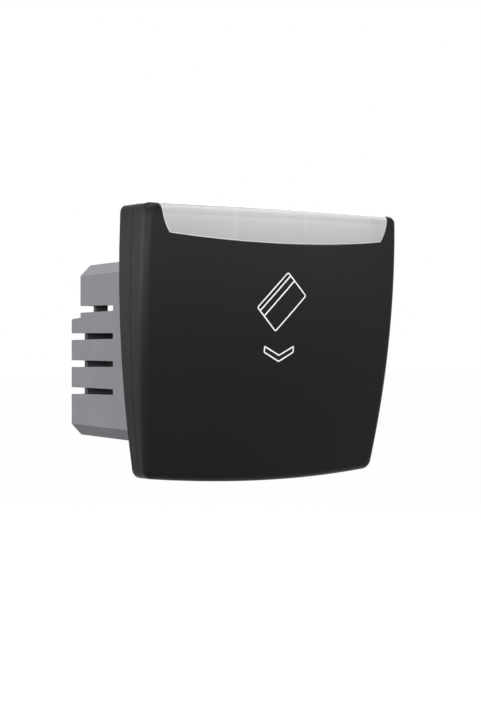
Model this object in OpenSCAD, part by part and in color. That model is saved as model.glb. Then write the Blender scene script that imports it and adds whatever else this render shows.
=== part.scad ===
// Hotel key card switch: a card pocket head on a snap-in module for a 45 mm square frame opening.
// X points right, Y into the wall and Z up. The origin is the middle of the frame opening,
// on the plane where the head bears on the frame. The front of the head faces -Y.

/* [Head] */
// Widest width of the head
head_w = 67.4; // [66:0.1:72]
// Height of the head's top edge above the opening's middle
head_top = 30.8; // [30:0.1:34]
// Depth of the head's lowest point below the opening's middle
head_drop = 28.4; // [28:0.1:32]
// Radius of the bowed sides
side_r = 275; // [240:1:500]
// Height at which the head is widest
widest_z = 16.6; // [12:0.1:20]
// Radius of the bowed lower edge
bottom_r = 310; // [240:1:500]
// Radius of the head's upper corners
corner_top = 1.8; // [1.7:0.1:3]
// Radius of the head's lower corners
corner_low = 2.2; // [1.8:0.1:4]
// Thickness of the head at the opening's middle
head_t = 10.9; // [10.5:0.1:13]
// Rise of the front for each mm of height, at the opening's middle
front_rise = 0.107; // [0.09:0.001:0.12]
// Radius of the front's crown from top to bottom
crown_v = 417; // [380:1:600]
// Radius of the front's crown from side to side
crown_h = 259; // [240:1:500]
// Rounding of the front edge
edge_r = 1.5; // [0.8:0.1:1.7]

/* [Front cover] */
// Wall of the front cover
cover_wall = 1.6; // [1.4:0.05:1.8]
// Thickness of the card ribs inside the cover
rib_t = 1.2; // [0.8:0.1:1.6]
// Height at which the card ribs start to lead the card in
rib_lead_z = -1; // [-4:0.5:0]
// Width of a snap hook
hook_w = 6; // [4:0.5:8]
// Thickness of a snap hook
hook_t = 1.2; // [0.9:0.1:1.3]
// Heights of the snap hooks above and below the opening's middle
hook_z = 12; // [9:0.5:15]

/* [Light window] */
// Height of the window's lower edge at the middle
window_low = 22.9; // [22.6:0.1:23.8]
// Radius of the window's bowed lower edge
window_r = 290; // [200:1:500]
// Width of the cover's post beside the window, at its top
window_post = 3.03; // [2.6:0.01:3.4]
// Radius of the window's bowed ends
window_end_r = 11.4; // [10:0.1:20]
// Radius of the window's lower corners
window_corner = 0.7; // [0.6:0.1:1.6]
// Thickness of the window
window_t = 2.4; // [2.2:0.1:2.6]
// Width of the lip that holds the window behind the cover
window_lip = 1.5; // [0.8:0.1:2]

/* [Rear frame] */
// Depth of the rear frame at the opening's middle
frame_t = 3.8; // [3.6:0.1:4.2]
// Rise of the parting line for each mm of height
frame_rise = 0.048; // [0.04:0.001:0.05]
// Wall of the rear frame
frame_wall = 2; // [1.6:0.1:2.2]
// Thickness of the card bed
bed_t = 1.4; // [1.2:0.1:1.5]
// Depth of the card bed below the parting line
bed_sink = 0.7; // [0.5:0.05:0.8]
// Height of the frame's top edge behind the slot mouth
mouth_z = 28.8; // [28.4:0.1:29.2]

/* [Card] */
// Width of the key card
card_w = 54; // [53.9:0.1:54.3]
// Thickness of the key card
card_t = 0.76; // [0.7:0.01:1]
// Side play of the card in the pocket
card_play = 0.7; // [0.4:0.05:0.8]
// Height at which the card's lower edge stops
card_stop = -24.5; // [-25:0.1:-23]

/* [Module] */
// Width and height of the frame opening that the module snaps into
opening = 45; // [45:0.1:46]
// Play of the collar in the frame opening
opening_play = 0.2; // [0.1:0.05:0.2]
// Thickness of the support frame that the latches grip
frame_grip = 2.5; // [2:0.1:3]
// Depth of the collar behind the head
collar_d = 6; // [5.8:0.1:7]
// Wall of the collar
collar_wall = 1.5; // [1.2:0.1:1.6]
// Thickness of the carrier's front plate
plate_t = 1.5; // [1.2:0.1:1.6]
// Width of a latch tongue
latch_w = 14; // [10:0.5:16]
// Height of a latch's catch over the collar
latch_h = 1; // [0.6:0.1:1.2]
// Depth of the spigot that carries the board
spigot_d = 8.6; // [8.4:0.1:10]

/* [Rear housing] */
// Width of the housing at the collar
body_w = 44.3; // [44:0.1:44.5]
// Height of the housing at the collar
body_h = 41.1; // [41:0.1:42]
// Depth of the housing's rear wall behind the head
body_d = 41.6; // [41:0.1:46]
// Draft of the housing's top and bottom, in degrees
body_draft = 1.27; // [0.5:0.01:1.4]
// Draft of the housing's sides, in degrees
side_draft = 0.55; // [0.3:0.01:0.8]
// Chamfer of the housing's long edges
body_chamfer = 2.6; // [2:0.1:3]
// Wall of the housing
body_wall = 1.3; // [1.1:0.05:1.4]
// Height of the step in the rear wall
step_z = 7.35; // [7.2:0.05:7.6]
// Depth of the step in the rear wall
step_d = 4.25; // [3.5:0.05:4.5]
// Rise of the step's shelf towards the head
step_rise = 0.3; // [0.1:0.05:0.4]
// Number of vent slots on each side
slot_n = 4; // [2:1:4]
// Spacing of the vent slots
slot_pitch = 6.31; // [6.2:0.01:6.4]
// Height of the middle of the row of slots
slot_mid = 0.1; // [0:0.01:0.4]
// Width of a slot at the rear
slot_h = 1.56; // [1.2:0.01:1.7]
// Width of a slot at its front end
slot_h_front = 1.27; // [1:0.01:1.5]
// Depth of the slots' front end behind the head
slot_start = 22.3; // [20:0.1:26]
// Rounding of a slot's front end
slot_end_r = 0.35; // [0.2:0.01:0.4]
// Length of a slot round the rear corner
slot_wrap = 3.5; // [2.5:0.1:4]

/* [Card lever] */
// Width of the lever
lever_w = 7; // [6.6:0.1:8]
// Depth of the lever's pivot behind the head
lever_y = 4.2; // [4:0.1:4.4]
// Height of the lever's pivot
lever_z = -2; // [-2.4:0.1:-1.6]
// Radius of the pivot pin
pin_r = 0.75; // [0.6:0.05:0.8]
// Radius of the lever's hub
hub_r = 2.1; // [1.9:0.1:2.2]
// Reach of the nose in front of the card bed
nose_reach = 2.9; // [2.2:0.1:3]
// Height of the nose's tip
nose_z = -14.5; // [-15:0.1:-14]
// Height of the plunger and of the pad that pushes it
pad_z = -10; // [-10.4:0.1:-9.6]
// Wire radius of the return spring
wire_r = 0.22; // [0.18:0.01:0.25]
// Coils of the return spring
coils = 3; // [2:1:4]

/* [Switch] */
// Width of the switch case
case_w = 6.4; // [5.8:0.1:7]
// Length of the switch case
case_l = 12.8; // [12:0.1:13.4]
// Radius of the plunger
plunger_r = 1.1; // [0.9:0.05:1.3]
// Height of the plunger over its case at rest
plunger_h = 2.5; // [2.3:0.1:2.8]

/* [Electronics] */
// Thickness of the circuit board
board_t = 1.6; // [1.2:0.1:1.8]
// Length of the relay
relay_l = 20; // [18:0.5:20]
// Width of the relay
relay_w = 15.4; // [14:0.2:15.6]
// Height of the relay over the board
relay_h = 15.4; // [12:0.2:16]
// Length of the film capacitor
film_l = 18; // [13:0.5:18]
// Thickness of the film capacitor
film_t = 6; // [4:0.5:6]
// Height of the film capacitor over the board
film_h = 12; // [9:0.5:14]
// Radius of the electrolytic capacitor
can_r = 4; // [3:0.5:4]
// Height of the electrolytic capacitor over the board
can_h = 11.5; // [9:0.5:14]
// Radius of the varistor
disc_r = 3.5; // [2.5:0.5:3.5]
// Radius of the indicator lamp
led_r = 1.5; // [1:0.1:1.5]
// Half width of the light guide
guide_half = 9.2; // [8:0.1:10]
// Thickness of the light guide
guide_t = 1.7; // [1.4:0.1:1.8]
// Height of the light guide's entry
guide_z = 15; // [14.4:0.1:15.6]

/* [Terminals] */
// Number of terminals
term_n = 4; // [2:1:4]
// Spacing of the terminals
term_pitch = 8.4; // [8.2:0.1:8.6]
// Width of a terminal cage
cage_w = 5.2; // [4.8:0.1:5.4]
// Depth of a terminal cage
cage_d = 5.6; // [5:0.1:6]
// Height of a terminal cage
cage_h = 6.8; // [6.4:0.1:7]
// Wall of a terminal cage
cage_wall = 0.9; // [0.7:0.05:1]
// Width of a wire entry
entry_w = 5.2; // [4.6:0.1:5.4]
// Height of a wire entry
entry_h = 3.6; // [3:0.1:3.8]
// Radius of a terminal screw's shank
term_screw_r = 1.4; // [1.2:0.05:1.5]
// Radius of a screwdriver hole
driver_r = 2; // [1.8:0.1:2.2]

/* [Screws] */
// Radius of the frame screws' shanks
screw_r = 1.1; // [1:0.05:1.2]
// Sideways place of the frame screws
screw_x = 14; // [13.4:0.1:15]
// Height of the frame screws
screw_z = 8; // [6:0.1:9]
// Length of the frame screws
screw_l = 10.5; // [9:0.1:11]

/* [Fits] */
// Gap between pieces that seat in each other
seat = 0.1; // [0.05:0.01:0.15]
// Gap between the window and the cover round it
window_play = 0.15; // [0.1:0.01:0.2]
// Gap between pieces that snap together
snap_gap = 0.25; // [0.2:0.01:0.3]
// Radial clearance of a turning or sliding fit
run = 0.06; // [0.04:0.01:0.08]
// Gap between the lever's pad and the plunger at rest
tip_gap = 0.12; // [0.1:0.01:0.16]

/* [Hidden] */
$fn = 48;
// Reach of cuts past the faces that they open
past = 1;
// A size larger than the whole part
far = 100;
// Least radius of an inset corner
least_r = 0.3;
// Inner rounding of the cover's wall
inner_r = 0.5;
// Segments of the outline's stretches and of the front edge's rounding
top_n = 4;
corner_n = 4;
side_n = 7;
low_n = 5;
round_n = 4;
// Shares of the outline at which the front's crown has points
cap_steps = [0.72, 0.44, 0.18];

side_c = [head_w/2 - side_r, widest_z];
low_c = [0, bottom_r - head_drop];
head_mid = [0, (head_top - head_drop)/2];
window_half = side_x(head_top) - window_post;
card_half = card_w/2 + card_play;
mouth_lead = 0.3;
mouth_half = card_half + mouth_lead;
rib_top = window_low - window_lip - 3*seat;
rib_play = 0.8;
rib_gap = card_t + rib_play;
press_ribs = [-22, -11, 11, 22];
lead_in = 3;
floor_t = 1.2;
barb = 0.6;
barb_l = 0.7;

collar_half = opening/2 - opening_play;
collar_in = collar_half - collar_wall;
flange_t = 1.5;
slit = 0.8;
ring_gap = 0.7;
ring_in = opening/2 + ring_gap;
ring_t = 1.2;
ring_out = ring_in + ring_t;
board_y = collar_d + spigot_d;
board_back = board_y + board_t;
up_d = body_d - step_d;
spigot_wall = 1.4;
snap_x = 13;
snap_w = 5;
snap_l = 2.4;
snap_h = 1;
snap_y = collar_d + spigot_d/2;
step_edge = 0.4;
ledge_z = 15.5;
ledge_w = 1.4;
ledge_h = 1.8;

pad_t = 1.8;
pad_y = lever_y + pad_t;
case_y = pad_y + tip_gap + plunger_h;
arm_t = 1;
arm_front = lever_y - arm_t;
arm_back = lever_y - seat;
arm_drop = 1.7;
nose_flat = 0.6;
nose_slope = 1.4;
arm_end = nose_z - arm_drop;
ear_gap = 0.3;
ear_t = 1.6;
pin_half = lever_w/2 + ear_gap + ear_t;
spring_r = pin_r + 3*run + 2*wire_r;
lever_gap = 0.5;
plunger_in = 1.3;
plunger_room = 2.4;
nose_rise = 6.4;
nose_top = nose_z + nose_rise;
bed_window_drop = 1.8;
bed_window_top = nose_top - bed_window_drop;
swing_room = 2.2;
ear_half = 2.4;
ear_over = 2.2;
coil_gap = 0.12;
coil_room = 0.6;
leg_l = 5;
lead_r = 0.45;
lead_out = 1.4;
boss_r = 3;
post_r = 2.6;
tip_room = 1.5;
post_l = screw_l - tip_room;
screw_sink = 0.2;
screw_y = bed_y(screw_z) + screw_sink;
cross_w = 0.5;
cross_d = 0.7;

shelf_d = 10;
shelf_y = up_d - body_wall - shelf_d;
wire_room = 3.9;
cage_y1 = up_d - body_wall - wire_room;
cage_z = step_z;
entry_z = slot_mid + 1.5*slot_pitch;
bar_t = 0.9;
bar_out = 0.4;
bar_w = cage_w - 2*cage_wall - 2*seat;
bar_drop = 1.1;
bar_z = cage_z + cage_h - cage_wall - bar_drop;
term_head_r = 2.1;
part_t = 1.1;
board_half = [body_half(board_back).x - body_wall - 3*seat, body_half(board_back).y - body_wall - 3*seat];

// Curves and forms of the head

function heading(v) = atan2(v.y, v.x);

// Points of an arc after its first one
function arc(c, r, a0, a1, n) =
    [for (i = [1:n]) let (a = a0 + (a1 - a0)*i/n) c + r*[cos(a), sin(a)]];

// The lower right crossing of two circles
function low_crossing(c0, r0, c1, r1) =
    let (d = norm(c1 - c0), u = (c1 - c0)/d)
    let (a = (r0*r0 - r1*r1 + d*d)/(2*d))
    c0 + a*u + sqrt(r0*r0 - a*a)*[u.y, -u.x];

// The right half of the head's outline, inset by e, from the top's middle to the lowest point
function half_outline(e, top = head_top) =
    let (rt = max(corner_top - e, least_r), rl = max(corner_low - e, least_r))
    let (tz = top - e - rt)
    let (tx = side_c.x + sqrt(pow(side_r - e - rt, 2) - pow(tz - widest_z, 2)))
    let (tc = [tx, tz])
    let (lc = low_crossing(side_c, side_r - e - rl, low_c, bottom_r - e - rl))
    let (a0 = heading(tc - side_c), a1 = heading(lc - side_c), a2 = heading(lc - low_c))
    concat([for (i = [0:top_n]) [tx*i/top_n, top - e]],
        arc(tc, rt, 90, a0, corner_n),
        arc(side_c, side_r - e, a0, a1, side_n),
        arc(lc, rl, a1, a2, corner_n),
        arc(low_c, bottom_r - e, a2, -90, low_n));

// The whole outline, clockwise seen from the front
function outline(e, top = head_top) =
    let (h = half_outline(e, top))
    concat(h, [for (i = [len(h) - 2:-1:1]) [-h[i].x, h[i].y]]);

// Half width of the head at a height, inset by e
function side_x(z, e = 0) = side_c.x + sqrt(pow(side_r - e, 2) - pow(z - widest_z, 2));

// Depth of the crowned front at a point of the front view
function front_y(p) =
    -(head_t + front_rise*p.y - p.y*p.y/(2*crown_v) - p.x*p.x/(2*crown_h));

// Depth of the parting line and of the card bed at a height
function part_y(z) = -(frame_t + frame_rise*z);
function bed_y(z) = part_y(z) + bed_sink;

// Half width and half height of the drafted housing at a depth
function body_half(y) =
    [body_w/2 - (y - collar_d)*tan(side_draft), body_h/2 - (y - collar_d)*tan(body_draft)];

// A closed skin over rings of equally many points, from the rearmost to the foremost
module skin(rings, first, last) {
    n = len(rings[0]);
    m = len(rings);
    walls = [for (j = [0:m - 2], i = [0:n - 1]) let (k = (i + 1)%n)
        each [[j*n + i, j*n + k, (j + 1)*n + k], [j*n + i, (j + 1)*n + k, (j + 1)*n + i]]];
    caps = [for (i = [0:n - 1]) let (k = (i + 1)%n)
        each [[k, i, m*n], [(m - 1)*n + i, (m - 1)*n + k, m*n + 1]]];
    polyhedron(points = [for (r = rings) each r, first, last], faces = concat(walls, caps));
}

// The head's form in front of the parting line: inset by e, thinner in front by wall
module head_form(e = 0, wall = 0, r = edge_r, back = 0, top = head_top) {
    rear = [for (p = outline(e, top)) [p.x, part_y(p.y) + back, p.y]];
    edge = [for (k = [0:round_n]) let (a = 90*k/round_n)
        [for (p = outline(e + r*(1 - cos(a)), top)) [p.x, front_y(p) + wall + r*(1 - sin(a)), p.y]]];
    crown = [for (s = cap_steps) [for (p = outline(e + r, top))
        let (q = head_mid + s*(p - head_mid)) [q.x, front_y(q) + wall, q.y]]];
    skin(concat([rear], edge, crown), [0, part_y(head_mid.y) + back, head_mid.y],
        [0, front_y(head_mid) + wall, head_mid.y]);
}

// Extrudes a front view shape from depth y0 to depth y1
module slab(y0, y1) {
    translate([0, y1, 0]) rotate([90, 0, 0]) linear_extrude(height = y1 - y0) children();
}

// Extrudes a side view shape, with Y across and Z up, over a width about a middle
module across(w, x = 0) {
    translate([x, 0, 0]) rotate([90, 0, 90]) linear_extrude(height = w, center = true) children();
}

// A rectangle given by its lower left and upper right corners
module rect(a, b) {
    translate(a) square(b - a);
}

// A box given by its low and high corners
module block(a, b) {
    translate(a) cube(b - a);
}

// Copies on the left and the right
module both_sides() {
    children();
    mirror([1, 0, 0]) children();
}

// The space between two depths behind the leaning parting line
module behind_parting(y0, y1) {
    across(far) polygon([[part_y(-far) + y0, -far], [part_y(far) + y0, far],
        [part_y(far) + y1, far], [part_y(-far) + y1, -far]]);
}

// The light window's place in the front view, grown by g
module window_place(g = 0) {
    low = window_low - g;
    rim = window_r + g;
    r = window_corner + g;
    end_c = [window_half - window_end_r, head_top];
    rim_c = [0, low + rim];
    foot_c = low_crossing(end_c, window_end_r - window_corner, rim_c, rim - r);
    a_low = heading(foot_c - rim_c);
    a_end = heading(foot_c - end_c);
    right = concat(arc(rim_c, rim, -90, a_low, low_n), arc(foot_c, r, a_low, a_end, corner_n),
        arc(end_c, window_end_r + g, a_end, 0, side_n), [[window_half + g, head_top + past]]);
    polygon(concat([[0, low]], right,
        [for (i = [len(right) - 1:-1:0]) [-right[i].x, right[i].y]]));
}

// Front cover with card ribs and snap hooks

module cover_ribs() {
    // Side ribs and floor of the card pocket
    both_sides() slab(-far, 0) rect([card_half, card_stop - floor_t], [card_half + rib_t, rib_top]);
    slab(-far, 0) rect([-card_half - rib_t, card_stop - floor_t], [card_half + rib_t, card_stop]);
    // Ribs that press the card to its bed, with a sloping lead-in
    for (x = press_ribs)
        across(rib_t, x) polygon([[-far, card_stop - past], [bed_y(card_stop) - rib_gap, card_stop - past],
            [bed_y(rib_lead_z) - rib_gap, rib_lead_z - lead_in], [bed_y(rib_lead_z) - head_t/2, rib_lead_z],
            [-far, rib_lead_z + past]]);
    // Roots of the snap hooks
    for (s = [-1, 1])
        both_sides() block([hook_x(s*hook_z) - hook_t, -far, s*hook_z - hook_w/2],
            [side_x(s*hook_z), 0, s*hook_z + hook_w/2]);
}

// Outer face of a snap hook, inside the frame's rim at the narrow end of the hook
function hook_x(z) = side_x(z - hook_w/2, frame_wall) - snap_gap;

// Depth of a snap hook's catch behind the card bed's rear
function catch_y(z) = part_y(z - hook_w/2) + bed_sink + bed_t + seat;

module cover_hook(z) {
    x = hook_x(z);
    translate([0, 0, z - hook_w/2]) linear_extrude(height = hook_w)
        polygon([[x - hook_t, part_y(z) - past], [x, part_y(z) - past], [x, catch_y(z) + barb_l],
            [x - hook_t, catch_y(z) + barb_l], [x - hook_t - barb, catch_y(z)], [x - hook_t, catch_y(z)]]);
}

module front_cover() {
    color([0.13, 0.13, 0.135]) {
        difference() {
            union() {
                difference() {
                    head_form();
                    head_form(cover_wall, cover_wall, inner_r, past);
                }
                intersection() {
                    head_form(cover_wall/2, cover_wall/2, inner_r, -snap_gap);
                    cover_ribs();
                }
                for (s = [-1, 1]) both_sides() cover_hook(s*hook_z);
            }
            slab(-far, far) window_place();
        }
    }
}

module light_window() {
    color([0.8, 0.79, 0.8]) difference() {
        union() {
            intersection() {
                head_form();
                slab(-far, far) window_place(-window_play);
            }
            intersection() {
                head_form(cover_wall + seat, cover_wall + seat, inner_r);
                slab(-far, far) window_place(window_lip);
            }
        }
        // The card slot's mouth stays open above the window
        head_form(window_t, window_t, inner_r, past, head_top + window_t + past);
    }
}

// Rear frame with the card bed

module frame_shape(e = 0) {
    difference() {
        polygon(outline(e));
        rect([-mouth_half - e, mouth_z - e], [mouth_half + e, far]);
    }
}

module screw_places() {
    for (x = [-screw_x, screw_x]) translate([x, 0, screw_z]) children();
}

// A cylinder along Y from depth y0 to depth y1
module rod(y0, y1, r0, r1) {
    translate([0, y0, 0]) rotate([-90, 0, 0]) cylinder(h = y1 - y0, r1 = r0, r2 = r1);
}

module rear_frame() {
    color([0.15, 0.15, 0.155]) difference() {
        union() {
            // Rim from the parting line to the bearing plane
            intersection() {
                slab(-far, 0) difference() {
                    frame_shape();
                    frame_shape(frame_wall);
                }
                behind_parting(0, far);
            }
            // Plate that holds the card bed
            intersection() {
                slab(-far, 0) frame_shape(frame_wall/2);
                behind_parting(0, bed_sink + bed_t);
            }
            // Ring that bears on the support frame round its opening, and the screw bosses
            intersection() {
                slab(-far, 0) difference() {
                    rect([-ring_out, -ring_out], [ring_out, ring_out]);
                    rect([-ring_in, -ring_in], [ring_in, ring_in]);
                }
                behind_parting(bed_sink, far);
            }
            intersection() {
                screw_places() rod(-frame_t, 0, boss_r, boss_r);
                behind_parting(bed_sink, far);
            }
        }
        // Card bed
        intersection() {
            slab(-far, far) rect([-card_half, card_stop - floor_t], [card_half, far]);
            behind_parting(-far, bed_sink);
        }
        // Windows for the lever's nose and the light guide
        slab(-far, far) rect([-lever_w/2 - lever_gap, arm_end - swing_room],
            [lever_w/2 + lever_gap, bed_window_top]);
        guide_room();
        // Slots for the cover's hooks
        for (s = [-1, 1])
            both_sides() slab(-far, -past/2)
                rect([hook_x(s*hook_z) - hook_t - snap_gap, s*hook_z - hook_w/2 - snap_gap],
                    [hook_x(s*hook_z) + snap_gap, s*hook_z + hook_w/2 + snap_gap]);
        // Countersunk screw holes
        screw_places() {
            rod(-far, past, screw_r + seat, screw_r + seat);
            rod(screw_y, screw_y + screw_r + seat, 2*screw_r + 2*seat, screw_r + seat);
            rod(-far, screw_y, 2*screw_r + 2*seat, 2*screw_r + 2*seat);
        }
    }
}

module frame_screws() {
    color([0.75, 0.76, 0.78]) screw_places() difference() {
        union() {
            rod(screw_y, screw_y + screw_r, 2*screw_r, screw_r);
            rod(screw_y + screw_r, screw_y + screw_l, screw_r, screw_r);
        }
        for (a = [0, 90])
            rotate([0, a, 0]) block([-screw_r, screw_y - past, -cross_w/2],
                [screw_r, screw_y + cross_d, cross_w/2]);
    }
}

// Light guide: an elbow from the lamp to a bar in the card bed's window

guide_rest = 0.3;
guide_back = -guide_rest;
guide_front = guide_back - guide_t;
guide_entry = 1.6;
guide_low = guide_z - guide_entry;
guide_high = mouth_z - frame_wall - 2*snap_gap;
guide_bar = 4;
guide_step = guide_high - guide_bar;
lamp_h = 5;
lamp_gap = 0.3;
guide_in = board_y - lamp_h - lamp_gap;

module guide_profile(g) {
    polygon([[guide_in, guide_low - g], [guide_in, guide_z + guide_entry + g],
        [guide_back + g, guide_z + guide_entry + g], [guide_back + g, guide_high + g],
        [bed_y(guide_step) + seat - far*g, guide_high + g],
        [bed_y(guide_step) + seat - far*g, guide_step - g], [guide_front - g, guide_step - g],
        [guide_front - g, guide_low - g]]);
}

module light_guide() {
    color([0.86, 0.9, 0.92]) across(2*guide_half) guide_profile(0);
}

// The light guide's room in the pieces that it passes through
module guide_room() {
    across(2*guide_half + 2*snap_gap) guide_profile(snap_gap/2);
}

// Module carrier: collar, latches, spigot, and the lever's ears

module ring_shape(half, wall) {
    difference() {
        rect(-half, half);
        rect(-half + [wall, wall], half - [wall, wall]);
    }
}

// A rectangle with chamfered corners, clockwise seen from the front
function octagon(half, c) =
    let (right = [[half.x - c, half.y], [half.x, half.y - c], [half.x, -half.y + c], [half.x - c, -half.y]])
    concat(right, [for (i = [3:-1:0]) [-right[i].x, right[i].y]]);

// Half size of the spigot, clear of the drafted housing at its rear end
spigot_half = body_half(board_y) - [1, 1]*(body_wall + 2*seat);
spigot_c = body_chamfer - body_wall/2;

module carrier_latch() {
    // Catch behind the support frame
    across(latch_w) polygon([[frame_grip, collar_half - past], [frame_grip, collar_half + latch_h],
        [frame_grip + 0.6, collar_half + latch_h], [collar_d - seat, collar_half],
        [collar_d - seat, collar_half - past]]);
}

module carrier_slits() {
    for (x = [-latch_w/2 - slit/2, latch_w/2 + slit/2])
        block([x - slit/2, plate_t, collar_in - past], [x + slit/2, far, collar_half + past]);
    block([-latch_w/2 - slit, plate_t, spigot_half.y], [latch_w/2 + slit, far, collar_in]);
}

module snap_bumps(g) {
    for (x = [-snap_x, snap_x])
        across(snap_w + 2*g, x) polygon([[snap_y - snap_l/2 - g, spigot_half.y - past],
            [snap_y - snap_l/2 - g, spigot_half.y + snap_h + far*g],
            [snap_y - snap_l/4, spigot_half.y + snap_h + far*g],
            [snap_y + snap_l/2 + g, spigot_half.y + far*g], [snap_y + snap_l/2 + g, spigot_half.y - past]]);
}

// Copies at the top and the bottom
module top_and_bottom() {
    children();
    mirror([0, 0, 1]) children();
}

module module_carrier() {
    ear_x = lever_w/2 + ear_gap;
    color([0.5, 0.51, 0.53]) difference() {
        union() {
            slab(0, collar_d) ring_shape([collar_half, collar_half], collar_wall);
            slab(0, plate_t) rect([-collar_half, -collar_half], [collar_half, collar_half]);
            slab(collar_d - flange_t, collar_d) difference() {
                rect([-collar_half, -collar_half], [collar_half, collar_half]);
                polygon(octagon(spigot_half - [1, 1]*spigot_wall, spigot_c));
            }
            slab(collar_d - flange_t, board_y) difference() {
                polygon(octagon(spigot_half, spigot_c));
                polygon(octagon(spigot_half - [1, 1]*spigot_wall, spigot_c));
            }
            top_and_bottom() {
                carrier_latch();
                snap_bumps(0);
            }
            both_sides() block([ear_x, plate_t - seat, lever_z - ear_half],
                [ear_x + ear_t, lever_y + ear_over, lever_z + ear_half]);
            screw_places() rod(0, post_l, post_r, post_r);
        }
        top_and_bottom() carrier_slits();
        // Windows for the lever's nose and the light guide
        slab(-past, plate_t + past) rect([-lever_w/2 - lever_gap, arm_end - swing_room],
            [lever_w/2 + lever_gap, nose_top]);
        guide_room();
        translate([0, lever_y, lever_z]) rotate([0, 90, 0])
            cylinder(h = 2*pin_half + past, r = pin_r + run/2, center = true);
        screw_places() rod(-past, post_l - past, screw_r + run, screw_r + run);
    }
}

// Rear housing: a drafted box with a stepped rear, vent slots and terminal seats

// Height of the step's shelf at a depth
function shelf_top(y) = step_z + step_rise*(body_d - y)/step_d;

// The drafted box from the collar to the rear, inset by e
module body_form(e, y0, y1) {
    c = body_chamfer - e/2;
    ends = [for (y = [y1, y0]) [for (p = octagon(body_half(y) - [e, e], c)) [p.x, y, p.y]]];
    difference() {
        skin(ends, [0, y1, 0], [0, y0, 0]);
        // The space over the step, down to its drafted shelf and its broken edge
        across(far) polygon([[up_d - e, far], [up_d - e, shelf_top(up_d - e) - e],
            [y1 - step_edge, shelf_top(y1 - step_edge) - e], [y1, shelf_top(y1) - e - step_edge],
            [y1 + past, shelf_top(y1) - e - step_edge], [y1 + past, far]]);
    }
}

// One slot on the right, round the rear corner at depth y1
module vent_slot(z, y1) {
    half = body_half(y1).x;
    tip = slot_start + slot_end_r;
    flank = slot_h_front/2 - slot_end_r;
    intersection() {
        across(far) polygon(concat([[tip, z - slot_h_front/2]],
            arc([tip, z - flank], slot_end_r, -90, -180, round_n), [[slot_start, z + flank]],
            arc([tip, z + flank], slot_end_r, 180, 90, round_n), [[y1, z + slot_h/2],
            [y1 + past, z + slot_h/2], [y1 + past, z - slot_h/2], [y1, z - slot_h/2]]));
        translate([0, 0, -far]) linear_extrude(height = 2*far)
            polygon([[half - body_wall - 3*seat, slot_start], [far, slot_start], [far, y1 + past],
                [half - slot_wrap, y1 + past], [half - slot_wrap, y1 - body_wall - seat],
                [half - body_wall - 3*seat, y1 - body_wall - seat]]);
    }
}

// Places of the terminals
module term_places() {
    for (i = [0:term_n - 1]) translate([(i - (term_n - 1)/2)*term_pitch, 0, 0]) children();
}

module terminal_seats() {
    half = term_n*term_pitch/2;
    // Shelf that carries the cages, in line with the step
    block([-half, shelf_y, step_z - body_wall], [half, up_d - body_wall/2, step_z]);
    // Partitions between the terminals
    for (i = [1:term_n - 1])
        translate([(i - term_n/2)*term_pitch, 0, 0])
            block([-part_t/2, shelf_y, step_z - body_wall/2], [part_t/2, up_d - body_wall/2, far]);
}

module rear_housing() {
    color([0.54, 0.55, 0.57]) difference() {
        union() {
            difference() {
                body_form(0, collar_d, body_d);
                body_form(body_wall, collar_d - past, body_d - body_wall);
            }
            intersection() {
                body_form(body_wall/2, collar_d, body_d - body_wall/2);
                union() {
                    terminal_seats();
                    // Ribs that hold the board against the spigot
                    top_and_bottom() both_sides()
                        block([board_half.x - ledge_w, board_back + seat, ledge_z - ledge_h/2],
                            [far, far, ledge_z + ledge_h/2]);
                }
            }
        }
        for (i = [0:slot_n - 1]) {
            z = slot_mid + (i - (slot_n - 1)/2)*slot_pitch;
            both_sides() vent_slot(z, z > step_z ? up_d : body_d);
        }
        term_places() {
            translate([0, 0, entry_z]) slab(up_d - body_wall - seat, up_d + past)
                rect([-entry_w/2, -entry_h/2], [entry_w/2, entry_h/2]);
            translate([0, cage_y1 - cage_d/2, body_half(up_d).y - body_wall - past])
                cylinder(h = far, r = driver_r);
        }
        top_and_bottom() snap_bumps(snap_gap);
    }
}

// Card lever, its pin and its return spring

module card_lever() {
    tip = bed_y(nose_z) - nose_reach;
    color([0.88, 0.88, 0.86]) difference() {
        union() {
            across(lever_w) polygon([[pad_y, lever_z], [pad_y, pad_z - 1.5], [arm_back, pad_z - 2.5],
                [arm_back, arm_end], [tip + nose_slope, arm_end], [tip, nose_z - nose_flat],
                [tip, nose_z + nose_flat], [arm_front, nose_top], [arm_front, lever_z]]);
            translate([-lever_w/2, lever_y, lever_z]) rotate([0, 90, 0]) cylinder(h = lever_w, r = hub_r);
        }
        translate([0, lever_y, lever_z]) rotate([0, 90, 0])
            cylinder(h = far, r = pin_r + run, center = true);
        // Room for the spring's coils beside the hub
        translate([coil_x0 - coil_room, lever_y, lever_z]) rotate([0, 90, 0])
            cylinder(h = far, r = hub_r + coil_room);
    }
}

module lever_pin() {
    color([0.78, 0.79, 0.8]) translate([-pin_half, lever_y, lever_z]) rotate([0, 90, 0])
        cylinder(h = 2*pin_half, r = pin_r);
}

coil_step = 2*wire_r + coil_gap;
coil_x1 = lever_w/2 - wire_r - coil_gap;
coil_x0 = coil_x1 - (coils + 0.5)*coil_step;

// A round wire along a path that never runs along X
module wire(path, r) {
    n = len(path);
    rings = [for (i = [0:n - 1])
        let (t = path[min(i + 1, n - 1)] - path[max(i - 1, 0)])
        let (u = cross(t, [1, 0, 0])/norm(cross(t, [1, 0, 0])), v = cross(t, u)/norm(cross(t, u)))
        [for (k = [0:5]) path[i] + r*(cos(60*k)*u + sin(60*k)*v)]];
    skin(rings, path[0], path[n - 1]);
}

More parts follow.
